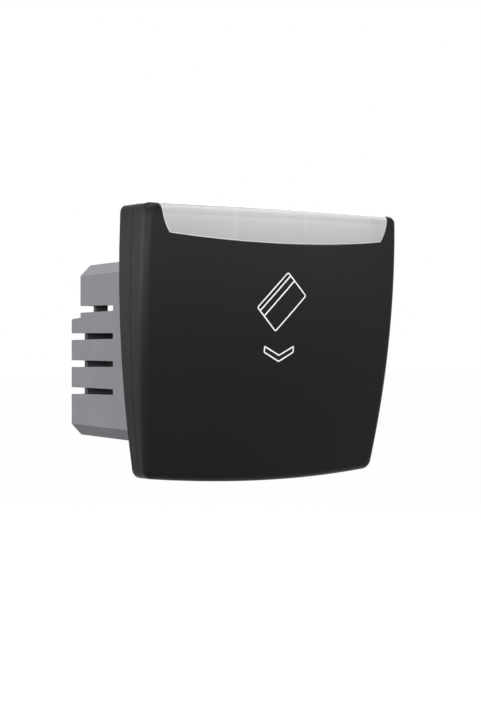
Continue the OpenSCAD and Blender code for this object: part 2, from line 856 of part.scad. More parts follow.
module lever_spring() {
    hub = [0, lever_y, lever_z];
    turn = [for (i = [0:12*coils + 6]) let (a = 30*i)
        hub + [coil_x0 + coil_step*i/12, spring_r*cos(a), spring_r*sin(a)]];
    // One leg lies on the lever's rear and the other one on the carrier's plate
    leg_y = pad_y + wire_r + run;
    tail = [[coil_x0, leg_y, lever_z - leg_l], [coil_x0, leg_y, lever_z - spring_r]];
    head = [coil_x1, plate_t + wire_r + run, lever_z + leg_l];
    color([0.72, 0.73, 0.75]) wire(concat(tail, turn, [head]), wire_r);
}

// Switch with its plunger and pins

lid_t = 1.6;
groove = 0.2;
collar_h = 0.3;
collar_t = 0.8;

module switch_case() {
    color([0.12, 0.13, 0.15]) difference() {
        union() {
            slab(case_y, board_y) rect([-case_w/2, pad_z - case_l/2], [case_w/2, pad_z + case_l/2]);
            translate([0, 0, pad_z])
                rod(case_y - collar_h, case_y + past, plunger_r + collar_t, plunger_r + collar_t);
        }
        translate([0, 0, pad_z])
            rod(case_y - past, case_y + plunger_in + plunger_room, plunger_r + run, plunger_r + run);
        // Parting groove of the case's lid
        slab(case_y + lid_t, case_y + lid_t + groove) difference() {
            rect([-far, -far], [far, far]);
            translate([0, pad_z]) square([case_w - 2*groove, case_l - 2*groove], center = true);
        }
    }
}

module switch_plunger() {
    color([0.75, 0.2, 0.15]) translate([0, 0, pad_z]) intersection() {
        rod(case_y - plunger_h, case_y + plunger_in, plunger_r, plunger_r);
        translate([0, case_y - plunger_h + 2*plunger_r, 0]) union() {
            sphere(r = 2*plunger_r);
            rod(0, far, 2*plunger_r, 2*plunger_r);
        }
    }
}

// Places of the switch's pins
module pin_places() {
    for (k = [-1:1]) translate([0, 0, pad_z + 0.4*case_l*k]) children();
}

module switch_pins() {
    color([0.85, 0.82, 0.7]) pin_places() rod(board_y, board_back + lead_out, lead_r, lead_r);
}

// Board and what is soldered to it

module circuit_board() {
    color([0.1, 0.32, 0.2]) difference() {
        slab(board_y, board_back) polygon(octagon(board_half, spigot_c));
        pin_places() rod(board_y - past, board_back + past, lead_r + seat, lead_r + seat);
    }
}

lamp_y = board_y - lamp_h + led_r;
lamp_rim = 0.4;
lamp_foot = 1;

module indicator_lamp() {
    color([0.9, 0.92, 0.9]) translate([0, 0, guide_z]) {
        rod(lamp_y, board_y, led_r, led_r);
        translate([0, lamp_y, 0]) sphere(r = led_r);
        rod(board_y - lamp_foot, board_y, led_r + lamp_rim, led_r + lamp_rim);
    }
}

// A moulded case on the board's rear, from its left side and lower edge
module board_case(x, z, w, l, h, edge) {
    slab(board_back, board_back + h) translate([x + w/2, z + l/2]) polygon(octagon([w/2, l/2], edge));
}

case_gap = 0.8;
low_row = -17.2;
relay_x = -lead_r - 2 - relay_w;
film_x = lead_r + case_gap;

module relay() {
    color([0.1, 0.11, 0.13]) board_case(relay_x, low_row, relay_w, relay_l, relay_h, 0.8);
}

module film_capacitor() {
    color([0.62, 0.14, 0.1]) board_case(film_x, low_row, film_t, film_l, film_h, 0.5);
}

can_x = film_x + film_t + can_r + case_gap;
can_z = low_row + can_r + 2*case_gap;

module can_capacitor() {
    color([0.12, 0.14, 0.2]) translate([can_x, board_back, can_z]) rotate([-90, 0, 0])
        rotate_extrude() polygon([[0, 0], [can_r - 0.4, 0], [can_r, 0.4], [can_r, 1.4], [can_r - 0.35, 1.8],
            [can_r, 2.2], [can_r, can_h - 0.6], [can_r - 0.6, can_h], [0, can_h]]);
}

disc_z = can_z + can_r + disc_r + 1;
disc_t = 3.6;
disc_lift = 1.2;
disc_lead = [0.6, 1.8];

module varistor() {
    color([0.1, 0.25, 0.55]) {
        translate([can_x - disc_t/2, board_back + disc_r + disc_lift, disc_z]) rotate([0, 90, 0])
            cylinder(h = disc_t, r = disc_r);
        for (s = [-1, 1])
            translate([can_x + s*disc_lead.x, 0, disc_z + s*disc_lead.y])
                rod(board_back, board_back + disc_r, lead_r, lead_r);
    }
}

chip_at = [-13.5, 2];
chip_size = [5, 4];
chip_h = 1.5;

module control_chip() {
    color([0.1, 0.1, 0.11]) slab(board_y - chip_h, board_y) rect(chip_at, chip_at + chip_size);
}

// Screw terminals: cages that rise to clamp a wire under a fixed bar

module terminal_cages() {
    color([0.8, 0.66, 0.36]) term_places() difference() {
        block([-cage_w/2, cage_y1 - cage_d, cage_z], [cage_w/2, cage_y1, cage_z + cage_h]);
        block([-cage_w/2 + cage_wall, -far, cage_z + cage_wall],
            [cage_w/2 - cage_wall, far, cage_z + cage_h - cage_wall]);
        translate([0, cage_y1 - cage_d/2, cage_z + cage_h/2]) cylinder(h = far, r = term_screw_r + run);
    }
}

term_head_h = 2;
drive_w = 0.7;
drive_d = 0.9;

module terminal_screws() {
    head_z = cage_z + cage_h + case_gap;
    color([0.76, 0.77, 0.79]) term_places() translate([0, cage_y1 - cage_d/2, 0]) difference() {
        union() {
            translate([0, 0, bar_z + bar_t]) cylinder(h = head_z - bar_z - bar_t, r = term_screw_r);
            translate([0, 0, head_z]) cylinder(h = term_head_h, r = term_head_r);
        }
        block([-far, -drive_w/2, head_z + term_head_h - drive_d], [far, drive_w/2, far]);
    }
}

module terminal_bars() {
    color([0.83, 0.83, 0.8]) term_places()
        block([-bar_w/2, board_back, bar_z], [bar_w/2, cage_y1 + bar_out, bar_z + bar_t]);
}

front_cover();
light_window();
rear_frame();
frame_screws();
light_guide();
module_carrier();
rear_housing();
card_lever();
lever_pin();
lever_spring();
switch_case();
switch_plunger();
switch_pins();
circuit_board();
indicator_lamp();
relay();
film_capacitor();
can_capacitor();
varistor();
control_chip();
terminal_cages();
terminal_screws();
terminal_bars();
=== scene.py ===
"""Looks of a hotel key card switch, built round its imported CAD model."""

import math

import bmesh
import bpy
import numpy as np
from bpy.props import FloatProperty, FloatVectorProperty, PointerProperty
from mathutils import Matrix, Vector


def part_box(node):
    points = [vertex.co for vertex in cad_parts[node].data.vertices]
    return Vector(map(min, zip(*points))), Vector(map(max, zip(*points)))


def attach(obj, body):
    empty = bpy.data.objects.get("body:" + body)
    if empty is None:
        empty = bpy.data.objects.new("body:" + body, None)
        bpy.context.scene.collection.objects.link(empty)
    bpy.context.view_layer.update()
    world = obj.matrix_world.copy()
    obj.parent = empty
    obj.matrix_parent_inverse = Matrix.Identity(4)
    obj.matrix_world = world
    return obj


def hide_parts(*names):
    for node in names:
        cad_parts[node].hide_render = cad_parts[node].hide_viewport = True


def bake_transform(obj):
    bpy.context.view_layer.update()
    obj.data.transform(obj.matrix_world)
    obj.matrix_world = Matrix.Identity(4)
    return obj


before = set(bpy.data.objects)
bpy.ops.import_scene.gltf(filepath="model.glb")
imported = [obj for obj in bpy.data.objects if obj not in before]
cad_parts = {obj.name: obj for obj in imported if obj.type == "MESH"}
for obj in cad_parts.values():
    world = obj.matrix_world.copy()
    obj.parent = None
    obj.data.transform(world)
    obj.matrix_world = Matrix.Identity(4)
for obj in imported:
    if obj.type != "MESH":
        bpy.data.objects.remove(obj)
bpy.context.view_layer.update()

bl_info = {
    "name": "Key Card Switch",
    "version": (1, 0, 0),
    "blender": (4, 5, 0),
    "location": "View3D > Sidebar > Key Card",
    "description": "Builds the looks of a hotel key card switch round its CAD model",
    "category": "Object",
}

MM = 0.001
BODY = "base"
HEAD_LOW, HEAD_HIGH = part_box("front_cover")

# The camera that the photograph's contours give: level, at the height of the frame opening's middle
CAMERA_AT = (-0.21774, -0.30872, 0.0)
CAMERA_YAW = math.radians(-34.88)
CAMERA_LENS = 87.5
CAMERA_SENSOR = 36.0


# Properties

def linear(code):
    """Linear RGBA of an sRGB hex code, by the standard's straight foot and 2.4 power."""
    v = np.array([int(code[i:i + 2], 16) for i in (1, 3, 5)])/255
    v = np.where(v <= 0.04045, v/12.92, ((v + 0.055)/1.055)**2.4)
    return (*v.tolist(), 1.0)


def length(name, text, value):
    """A length property in metres."""
    return FloatProperty(name=name, description=text, default=value, unit="LENGTH", precision=5)


def number(name, text, value):
    """A property without a unit."""
    return FloatProperty(name=name, description=text, default=value)


def colour(name, text, code):
    """A colour property, given as an sRGB hex code."""
    return FloatVectorProperty(name=name, description=text, default=linear(code)[:3], subtype="COLOR",
                               min=0.0, max=1.0)


class KeyCardHead(bpy.types.PropertyGroup):
    """Sizes of the head, as the CAD model has them, and the turn of its top edge"""
    width: length("Width", "Widest width of the head", HEAD_HIGH.x - HEAD_LOW.x)
    top: length("Top", "Height of the top edge above the opening's middle", HEAD_HIGH.z)
    drop: length("Drop", "Depth of the lowest point below the opening's middle", -HEAD_LOW.z)
    side_radius: length("Side radius", "Radius of the bowed sides", 0.275)
    widest: length("Widest height", "Height at which the head is widest", 0.0166)
    bottom_radius: length("Bottom radius", "Radius of the bowed lower edge", 0.310)
    top_corner: length("Top corner", "Radius of the upper corners", 0.0018)
    low_corner: length("Low corner", "Radius of the lower corners", 0.0022)
    thickness: length("Thickness", "Depth of the front before the bearing plane", 0.0109)
    rise: number("Rise", "Rise of the front for each length of height", 0.107)
    crown_upright: length("Upright crown", "Radius of the front's crown from top to bottom", 0.417)
    crown_across: length("Crown across", "Radius of the front's crown from side to side", 0.259)
    turn_start: length("Turn start", "Distance below the top edge from which the front turns back", 0.0022)
    turn: number("Turn", "Depth of that turn for each squared metre of height", 150.0)
    edge_radius: length("Edge radius", "Rounding of the front edge", 0.0015)
    wall: length("Wall", "Wall of the front cover", 0.0016)
    parting: length("Parting", "Depth of the parting line before the bearing plane", 0.0038)
    parting_rise: number("Parting rise", "Lean of the parting line", 0.048)


class KeyCardWindow(bpy.types.PropertyGroup):
    """Sizes of the light window in the head's top edge"""
    low: length("Low edge", "Height of the lower edge at the middle", 0.0229)
    low_radius: length("Low edge radius", "Radius of the bowed lower edge", 0.290)
    half: length("Half width", "Half width of the window's place at its top", 0.0303)
    end_radius: length("End radius", "Radius of the bowed ends", 0.0114)
    corner: length("Corner", "Radius of the lower corners", 0.0007)
    thickness: length("Thickness", "Thickness of the window", 0.0024)
    gap: length("Gap", "Gap between the window and the cover", 0.00015)
    lip: length("Lip", "Width of the lip behind the cover", 0.0015)
    # The rim is a painted highlight: a brighter ribbon along the window's ends and lower edge
    rim: length("Rim", "Width of the bright rim along the ends and the lower edge", 0.0002)


class KeyCardLooks(bpy.types.PropertyGroup):
    """Colours, edges and print that a user would change"""
    cover: colour("Cover", "Colour of the front cover", "#0F0F10")
    rear: colour("Rear frame", "Colour of the rear frame", "#101011")
    housing: colour("Housing", "Colour of the module housing", "#6E6F73")
    window: colour("Window", "Colour of the frosted window", "#C4C2C4")
    # Colour of the rim's painted highlight along the window's edge
    rim: colour("Window rim", "Colour of the window's bright rim", "#B4B3B4")
    ink: colour("Ink", "Colour of the printed signs", "#E8E8E8")
    moulded_edge: length("Moulded edge", "Broken edge of moulded pieces", 0.00016)
    line: length("Line", "Width of the printed lines", 0.0003)


# Shapes of the head, in metres: x right, y into the wall, z up

# Points across a rounded edge, then steps along the post, a corner, the side and the window's end, foot and
# low edge
N_ROUND = 9
N_POST, N_CORNER, N_SIDE, N_END, N_FOOT, N_LOW = 3, 8, 48, 9, 6, 26
MIRROR = np.array([-1, 1])


def front_depth(h, x, z):
    """Depth of the crowned front: a lean with height, less a parabola upright, a parabola across and, close
    below the top edge, a steeper parabola that turns the front back."""
    over = np.maximum(z - h.top + h.turn_start, 0)
    return -(h.thickness + h.rise*z - z*z/(2*h.crown_upright) - x*x/(2*h.crown_across) - h.turn*over*over)


def face_depth(h, x, z):
    """Depth of the front with its top edge: the crowned front, carried over a quarter circle at the top."""
    over = np.maximum(z - h.top + h.edge_radius, 0)
    return front_depth(h, x, z) + h.edge_radius - np.sqrt(h.edge_radius**2 - over**2)


def parting_depth(h, z):
    """Depth of the parting plane, which leans forward with height."""
    return -(h.parting + h.parting_rise*z)


def crossing(c0, r0, c1, r1):
    """The lower right crossing of two circles: along the line of centres by the cosine rule, then square."""
    c0, c1 = np.array(c0), np.array(c1)
    d = np.linalg.norm(c1 - c0)
    u = (c1 - c0)/d
    a = (r0*r0 - r1*r1 + d*d)/(2*d)
    return c0 + a*u + math.sqrt(r0*r0 - a*a)*np.array([u[1], -u[0]])


def heading(v):
    """Angle of a vector from the x axis."""
    return math.atan2(v[1], v[0])


def unit(a):
    """Unit vectors at angles from the x axis."""
    return np.stack([np.cos(a), np.sin(a)], -1)


def arc(c, r, a0, a1, n):
    """Points of an arc after its first one, at equal angles."""
    return np.array(c) + r*unit(a0 + (a1 - a0)*np.arange(1, n + 1)/n)


class WindowPlace:
    """The window's place in the front view, grown by a length: bowed low edge, round corners, bowed ends."""

    def __init__(self, h, w, grow):
        self.bow = w.low_radius + grow
        self.bow_c = np.array([0, w.low - grow + self.bow])
        self.end = w.end_radius + grow
        self.end_c = np.array([w.half - w.end_radius, h.top])
        self.corner = w.corner + grow
        self.foot_c = crossing(self.end_c, w.end_radius - w.corner, self.bow_c, self.bow - self.corner)
        self.a_low = heading(self.foot_c - self.bow_c)
        self.a_end = heading(self.foot_c - self.end_c)
        self.foot = self.bow_c + self.bow*unit(self.a_low)
        self.heel = self.end_c + self.end*unit(self.a_end)

    def half_width(self, z):
        """Half width at a height: the end's circle above, then the corner's circle, then the foot's width."""
        end = self.end_c[0] + np.sqrt(np.maximum(self.end**2 - (z - self.end_c[1])**2, 0))
        corner = self.foot_c[0] + np.sqrt(np.maximum(self.corner**2 - (z - self.foot_c[1])**2, 0))
        return np.where(z >= self.heel[1], end, np.where(z >= self.foot[1], corner, self.foot[0]))

    def low_edge(self, x):
        """Height of the bowed lower edge: a circle's lower side."""
        return self.bow_c[1] - np.sqrt(self.bow**2 - x*x)

    def line(self, z_top):
        """Points of the right half from a height at the end down to the lower edge's middle."""
        a_top = math.asin((z_top - self.end_c[1])/self.end)
        start = self.end_c + self.end*unit(a_top)
        return np.concatenate([start[None], arc(self.end_c, self.end, a_top, self.a_end, N_END),
                               arc(self.foot_c, self.corner, self.a_end, self.a_low, N_FOOT),
                               arc(self.bow_c, self.bow, self.a_low, -math.pi/2, N_LOW)])


class CoverEdge:
    """The cover's edge line in the front view, from the window's place round the head and back to it.

    The right half is the top line of the post, a corner arc, the side's arc, a corner arc and the bottom's
    arc, joined at their tangents. An inset keeps each arc's centre and shortens its radius, so all match."""

    def __init__(self, h, place):
        self.h, self.place = h, place
        side_c = np.array([h.width/2 - h.side_radius, h.widest])
        top_z = h.top - h.top_corner
        top_x = side_c[0] + math.sqrt((h.side_radius - h.top_corner)**2 - (top_z - h.widest)**2)
        top_c = np.array([top_x, top_z])
        low_c = np.array([0, h.bottom_radius - h.drop])
        foot_c = crossing(side_c, h.side_radius - h.low_corner, low_c, h.bottom_radius - h.low_corner)
        a0, a1, a2 = heading(top_c - side_c), heading(foot_c - side_c), heading(foot_c - low_c)
        self.post_x = top_x
        # Share of the top line's length at each of its points, from the corner's to the window's middle
        half = N_CORNER//2
        notch = place.line(h.top - h.edge_radius)
        post = np.stack([np.linspace(top_x, notch[0, 0], N_POST + 1), np.full(N_POST + 1, h.top)], -1)
        corner = arc(top_c, h.top_corner, a0, math.pi/2, N_CORNER)[half - 1:]
        step = np.linalg.norm(np.diff(np.concatenate([corner, post[1:], notch[1:]]), axis=0), axis=1)
        self.share = np.concatenate([[0], np.cumsum(step)/step.sum()])
        # Centre, radius and angle of every point after the post; the bottom's arc takes the top line's shares
        rest = (self.share[half + 1:] - self.share[half])/(1 - self.share[half])
        turn, run = np.arange(1, N_CORNER + 1)/N_CORNER, np.arange(1, N_SIDE + 1)/N_SIDE
        arcs = ((top_c, h.top_corner, math.pi/2 + (a0 - math.pi/2)*turn),
                (side_c, h.side_radius, a0 + (a1 - a0)*run),
                (foot_c, h.low_corner, a1 + (a2 - a1)*turn),
                (low_c, h.bottom_radius, a2 + (-math.pi/2 - a2)*rest))
        self.centre = np.concatenate([np.tile(c, (len(a), 1)) for c, r, a in arcs])
        self.radius = np.concatenate([np.full(len(a), r) for c, r, a in arcs])
        self.angle = np.concatenate([a for c, r, a in arcs])
        self.i_top = N_POST + half
        self.i_low = N_POST + N_CORNER + N_SIDE + half

    def half(self, inset):
        """The right half of the line at an inset."""
        z = self.h.top - inset
        start = float(self.place.half_width(np.array(z)))
        post = np.stack([np.linspace(start, self.post_x, N_POST + 1), np.full(N_POST + 1, z)], -1)
        return np.concatenate([post, self.centre + (self.radius - inset)[:, None]*unit(self.angle)])

    def whole(self, inset):
        """The line from the right post to the left post."""
        return mirrored(self.half(inset))


def mirrored(half):
    """A half line that ends on the middle, carried on by its mirror image."""
    return np.concatenate([half, half[-2::-1]*MIRROR])


def coons(low, high, left, right, u, v):
    """A patch between four border lines: both ruled surfaces added, less the one through the four corners."""
    u, v = u[None, :, None], v[:, None, None]
    across = (1 - v)*low[None] + v*high[None]
    upright = (1 - u)*left[:, None] + u*right[:, None]
    corners = (1 - v)*((1 - u)*low[0] + u*low[-1]) + v*((1 - u)*high[0] + u*high[-1])
    return across + upright - corners


def grid(points, loop=False):
    """Vertices and quads of a grid of points, whose second direction may close on itself."""
    n, m = points.shape[:2]
    i, j = np.meshgrid(np.arange(n - 1), np.arange(m if loop else m - 1), indexing="ij")
    k = (j + 1) % m
    quads = np.stack([i*m + j, i*m + k, (i + 1)*m + k, (i + 1)*m + j], -1).reshape(-1, 4)
    return points.reshape(-1, 3), quads


def fan(points):
    """One face over a closed line of points."""
    return points, np.arange(len(points))[None]


def loft(lines):
    """A closed body: a closed line of points carried through several places, with a face at both ends."""
    return [grid(lines, True), fan(lines[0]), fan(lines[-1])]


# Meshes

# Degrees past which an edge is hard: on print, shells, copies of CAD nodes and the wire's coarse facets
SHARP_PRINT, SHARP_SHELL, SHARP_CAD, SHARP_WIRE = 40.0, 50.0, 30.0, 75.0
FLAT = math.radians(0.2)
WELD = 0.001*MM
EDGE_SEGMENTS = 2


def mesh_piece(name, parts, material, edge=0.0, sharp=SHARP_PRINT, cad=()):
    """A piece from parts of vertices and faces: doubles merged, faces turned outwards, hard edges broken."""
    starts = np.cumsum([0] + [len(points) for points, _ in parts])
    faces = [face for (_, part), start in zip(parts, starts) for face in (part + start).tolist()]
    mesh = bpy.data.meshes.new(name)
    mesh.from_pydata(np.concatenate([points for points, _ in parts]).tolist(), [], faces)
    return finish_piece(name, mesh, material, edge, sharp, cad)


def cad_piece(name, node, material, edge, sharp=SHARP_CAD, body=BODY):
    """A piece from a copy of a CAD node: its loose triangles merged, flat faces joined, hard edges broken."""
    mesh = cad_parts[node].data.copy()
    mesh.materials.clear()
    return finish_piece(name, mesh, material, edge, sharp, (node,), True, body)


def finish_piece(name, mesh, material, edge, sharp, cad, flat=False, body=BODY):
    """Welds a mesh, turns its faces outwards, adds the broken edge and fits the piece to its body, if any."""
    bm = bmesh.new()
    bm.from_mesh(mesh)
    bmesh.ops.remove_doubles(bm, verts=bm.verts, dist=WELD)
    if flat:
        bmesh.ops.dissolve_limit(bm, angle_limit=FLAT, verts=bm.verts, edges=bm.edges)
    bmesh.ops.recalc_face_normals(bm, faces=bm.faces)
    bm.to_mesh(mesh)
    bm.free()
    mesh.shade_smooth()
    mesh.set_sharp_from_angle(angle=math.radians(sharp))
    piece = bpy.data.objects.new(name, mesh)
    bpy.context.scene.collection.objects.link(piece)
    mesh.materials.append(material)
    if edge > 0:
        bevel = piece.modifiers.new("Broken edge", "BEVEL")
        bevel.width = edge
        bevel.segments = EDGE_SEGMENTS
        bevel.limit_method = "ANGLE"
        bevel.angle_limit = math.radians(sharp)
        bevel.harden_normals = True
        bevel.use_clamp_overlap = True
    if body:
        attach(piece, body)
    if cad:
        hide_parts(*cad)
    return piece


# Materials

# Range in which nearly all of a noise texture's values lie
NOISE = {"From Min": 0.3, "From Max": 0.7}


def add(tree, kind, sockets=None, **settings):
    """Adds a node with its settings. A socket takes a value, or another node's socket as a link."""
    made = tree.nodes.new(kind)
    for key, value in settings.items():
        setattr(made, key, value)
    for key, value in (sockets or {}).items():
        if isinstance(value, bpy.types.NodeSocket):
            tree.links.new(value, made.inputs[key])
        else:
            made.inputs[key].default_value = value
    return made


def shader(name, rgb, tone, tone_mm, rough, rough_swing, grain_mm, grain_depth_mm, stretch=(1, 1, 1),
           light=None, **sockets):
    """A surface with a slow swing of tone, a swing of roughness and a fine grain as bump, from their sizes.

    A light function gives a share of painted light and shade by which the colour is multiplied at each place.
    Mouldings and metals have a grain of a few hundredths of a millimetre, which is drawn coarser here, so
    that it shows."""
    material = bpy.data.materials.new(name)
    material.use_nodes = True
    tree = material.node_tree
    tree.nodes.clear()
    place = add(tree, "ShaderNodeTexCoord").outputs["Object"]
    drawn = add(tree, "ShaderNodeMapping", {"Vector": place, "Scale": stretch}).outputs["Vector"]
    cloud = add(tree, "ShaderNodeTexNoise", {"Vector": place, "Scale": 1/(tone_mm*MM), "Detail": 3.0})
    grain = add(tree, "ShaderNodeTexNoise", {"Vector": drawn, "Scale": 1/(grain_mm*MM), "Detail": 2.0})
    swing = add(tree, "ShaderNodeMapRange", {"Value": cloud.outputs["Fac"], **NOISE,
                                             "To Min": 1 - tone, "To Max": 1 + tone})
    base = add(tree, "ShaderNodeVectorMath", {0: tuple(rgb[:3]), 1: swing.outputs["Result"]},
               operation="MULTIPLY")
    if light:
        base = add(tree, "ShaderNodeVectorMath", {0: base.outputs["Vector"], 1: light(tree, place)},
                   operation="MULTIPLY")
    worn = add(tree, "ShaderNodeMapRange", {"Value": grain.outputs["Fac"], **NOISE,
                                            "To Min": rough - rough_swing, "To Max": rough + rough_swing})
    bump = add(tree, "ShaderNodeBump", {"Height": grain.outputs["Fac"], "Distance": grain_depth_mm*MM,
                                        "Strength": 1.0})
    surface = add(tree, "ShaderNodeBsdfPrincipled", {
        "Base Color": base.outputs["Vector"], "Roughness": worn.outputs["Result"],
        "Normal": bump.outputs["Normal"], **sockets})
    add(tree, "ShaderNodeOutputMaterial", {"Surface": surface.outputs["BSDF"]})
    return material


BLACK_ABS = {"tone": 0.03, "tone_mm": 9, "rough_swing": 0.04, "grain_mm": 0.22, "grain_depth_mm": 0.0015,
             "Specular IOR Level": 0.1}


def cover_abs(looks):
    """Matt black ABS, moulded on a spark-eroded tool: a soft, even sheen over a fine grain."""
    return shader("Black ABS, spark-eroded moulding", looks.cover, rough=0.36, **BLACK_ABS)


def frame_abs(looks):
    """The rear frame's black ABS: the same moulding, a little duller."""
    return shader("Black ABS, matt moulding", looks.rear, rough=0.4, **BLACK_ABS)


# Height in mm and share of painted light and shade on the window, from its lower edge up, darker towards the
# bottom:
# the wall behind ends at 28.3 mm, and the top turns back from 29.3 mm on, where the plate is thickest to the
# eye
WINDOW_PAINTED_LIGHT_BY_HEIGHT = (
    (23.0, 0.717), (27.0, 0.847), (28.2, 0.931), (28.5, 0.847), (28.8, 0.91), (29.1, 0.94), (29.5, 0.92),
    (29.9, 0.99), (30.2, 1.0), (30.35, 0.72), (30.5, 0.55), (30.8, 0.5))
# The guide behind, where the eye meets it from the left through the plate's depth, as painted shade, and the
# lines at its edges as painted light
GUIDE_X, GUIDE_HALF, GUIDE_PAINTED_SHADE = -3.3*MM, 9.2*MM, 0.985
LINE_HALF, GUIDE_LINE_PAINTED_LIGHT = 0.8*MM, 1.05
# The post behind the right end, met in the same way, as painted shade
POST_X, POST_HALF, POST_Z, POST_RISE, POST_PAINTED_SHADE = 26.7*MM, 2.0*MM, 29.05*MM, 0.55*MM, 0.92
# The fall of light from the middle to the left end, as the photograph shows it
# Painted shade on the window's left end
LEFT_X, LEFT_MIDDLE, LEFT_PAINTED_SHADE = -30*MM, -2*MM, 0.82
SOFT = 0.3*MM


def window_painted_light(tree, place):
    """Painted light and shade on the milky window, as a share of its colour: a share by height, times those
    of the lines at the guide's edges, of the guide, of the left end and of the post behind."""
    axes = add(tree, "ShaderNodeSeparateXYZ", {0: place})
    x, z = axes.outputs["X"], axes.outputs["Z"]
    low, high = WINDOW_PAINTED_LIGHT_BY_HEIGHT[0][0], WINDOW_PAINTED_LIGHT_BY_HEIGHT[-1][0]
    rise = add(tree, "ShaderNodeMapRange", {"Value": z, "From Min": low*MM, "From Max": high*MM})
    strips = add(tree, "ShaderNodeValToRGB", {"Fac": rise.outputs["Result"]})
    stops = strips.color_ramp.elements
    for height, _ in WINDOW_PAINTED_LIGHT_BY_HEIGHT[1:-1]:
        stops.new((height - low)/(high - low))
    for stop, (_, share) in zip(stops, WINDOW_PAINTED_LIGHT_BY_HEIGHT):
        stop.color = (share, share, share, 1.0)

    def beyond(value, middle, half):
        """How far a coordinate lies outside a stretch given by its middle and half length."""
        off = add(tree, "ShaderNodeMath", {0: value, 1: middle}, operation="SUBTRACT").outputs[0]
        size = add(tree, "ShaderNodeMath", {0: off}, operation="ABSOLUTE").outputs[0]
        return add(tree, "ShaderNodeMath", {0: size, 1: half}, operation="SUBTRACT").outputs[0]

    guide = beyond(x, GUIDE_X, GUIDE_HALF)
    line = add(tree, "ShaderNodeMath", {0: guide}, operation="ABSOLUTE").outputs[0]
    post = add(tree, "ShaderNodeMath", {0: beyond(x, POST_X, POST_HALF), 1: beyond(z, POST_Z, POST_RISE)},
               operation="MAXIMUM").outputs[0]
    total = strips.outputs["Color"]
    for value, start, end, share in ((line, 0.0, LINE_HALF, GUIDE_LINE_PAINTED_LIGHT), (guide, -SOFT, 0.0, GUIDE_PAINTED_SHADE),
                                     (x, LEFT_X, LEFT_MIDDLE, LEFT_PAINTED_SHADE),
                                     (post, -SOFT/2, SOFT/2, POST_PAINTED_SHADE)):
        part = add(tree, "ShaderNodeMapRange", {"Value": value, "From Min": start, "From Max": end,
                                                "To Min": share, "To Max": 1.0})
        total = add(tree, "ShaderNodeVectorMath", {0: total, 1: part.outputs[0]},
                    operation="MULTIPLY").outputs[0]
    return total


def window_polycarbonate(looks):
    """Frosted polycarbonate: milky, lets part of the light through, and its skin is nearly smooth; painted
    light and shade lie over its colour.
    """
    return shader("Frosted polycarbonate, moulded", looks.window, tone=0.02, tone_mm=7, rough=0.22,
                  rough_swing=0.03, grain_mm=0.3, grain_depth_mm=0.001, light=window_painted_light,
                  **{"Transmission Weight": 0.15, "IOR": 1.58, "Specular IOR Level": 0.2})


def window_painted_edge_highlight(looks):
    """The window's edge: a thin brighter line, a painted highlight for the light that the edge catches."""
    return shader("Frosted polycarbonate, painted edge highlight", looks.rim, tone=0.02, tone_mm=3, rough=0.3,
                  rough_swing=0.03, grain_mm=0.3, grain_depth_mm=0.001, IOR=1.58)


GREY_POLYCARBONATE = {"tone": 0.035, "tone_mm": 6, "rough": 0.55, "rough_swing": 0.06, "grain_mm": 0.3,
                      "grain_depth_mm": 0.005, "Specular IOR Level": 0.08}
# Half width within which a wall across the housing lies behind its outer skin, how squarely a face has to
# look inwards to take the painted shade, and the share of light that this painted shade leaves there
INNER_HALF = 20.8*MM
INNER_FACING = {"From Min": 0.85, "From Max": 0.95}
INNER_PAINTED_SHADE = 0.38


def carrier_polycarbonate(looks):
    """Grey glass-filled polycarbonate: matt, with faint flow clouds."""
    return shader("Grey polycarbonate, glass-filled moulding", looks.housing, **GREY_POLYCARBONATE)


def housing_painted_shade(tree, place):
    """Painted shade on the housing: the faces that look to its front, and those across it behind the outer
    skin, are painted darker for the box's own shade, which is deeper than studio lamps at the slots leave it."""
    across = add(tree, "ShaderNodeSeparateXYZ", {0: place}).outputs["X"]
    facing = add(tree, "ShaderNodeSeparateXYZ", {0: add(tree, "ShaderNodeNewGeometry").outputs["Normal"]})
    reach = add(tree, "ShaderNodeMath", {0: across}, operation="ABSOLUTE").outputs[0]
    deep = add(tree, "ShaderNodeMath", {0: reach, 1: INNER_HALF}, operation="LESS_THAN").outputs[0]
    turned = add(tree, "ShaderNodeMath", {0: facing.outputs["X"]}, operation="ABSOLUTE").outputs[0]
    side = add(tree, "ShaderNodeMath", {0: turned, 1: deep}, operation="MULTIPLY").outputs[0]
    front = add(tree, "ShaderNodeMath", {0: facing.outputs["Y"], 1: -1.0}, operation="MULTIPLY").outputs[0]
    inside = add(tree, "ShaderNodeMath", {0: side, 1: front}, operation="MAXIMUM").outputs[0]
    return add(tree, "ShaderNodeMapRange", {"Value": inside, **INNER_FACING,
                                            "To Min": 1.0, "To Max": INNER_PAINTED_SHADE}).outputs[0]


def housing_polycarbonate(looks):
    """The housing's grey polycarbonate: the same moulding, with painted shade where the slots show its
    inside.
    """
    return shader("Grey polycarbonate, vented moulding", looks.housing, light=housing_painted_shade,
                  **GREY_POLYCARBONATE)


def pad_ink(looks):
    """White pad printing ink: flat and matt."""
    return shader("White pad printing ink", looks.ink, tone=0.02, tone_mm=2, rough=0.6, rough_swing=0.05,
                  grain_mm=0.15, grain_depth_mm=0.001)


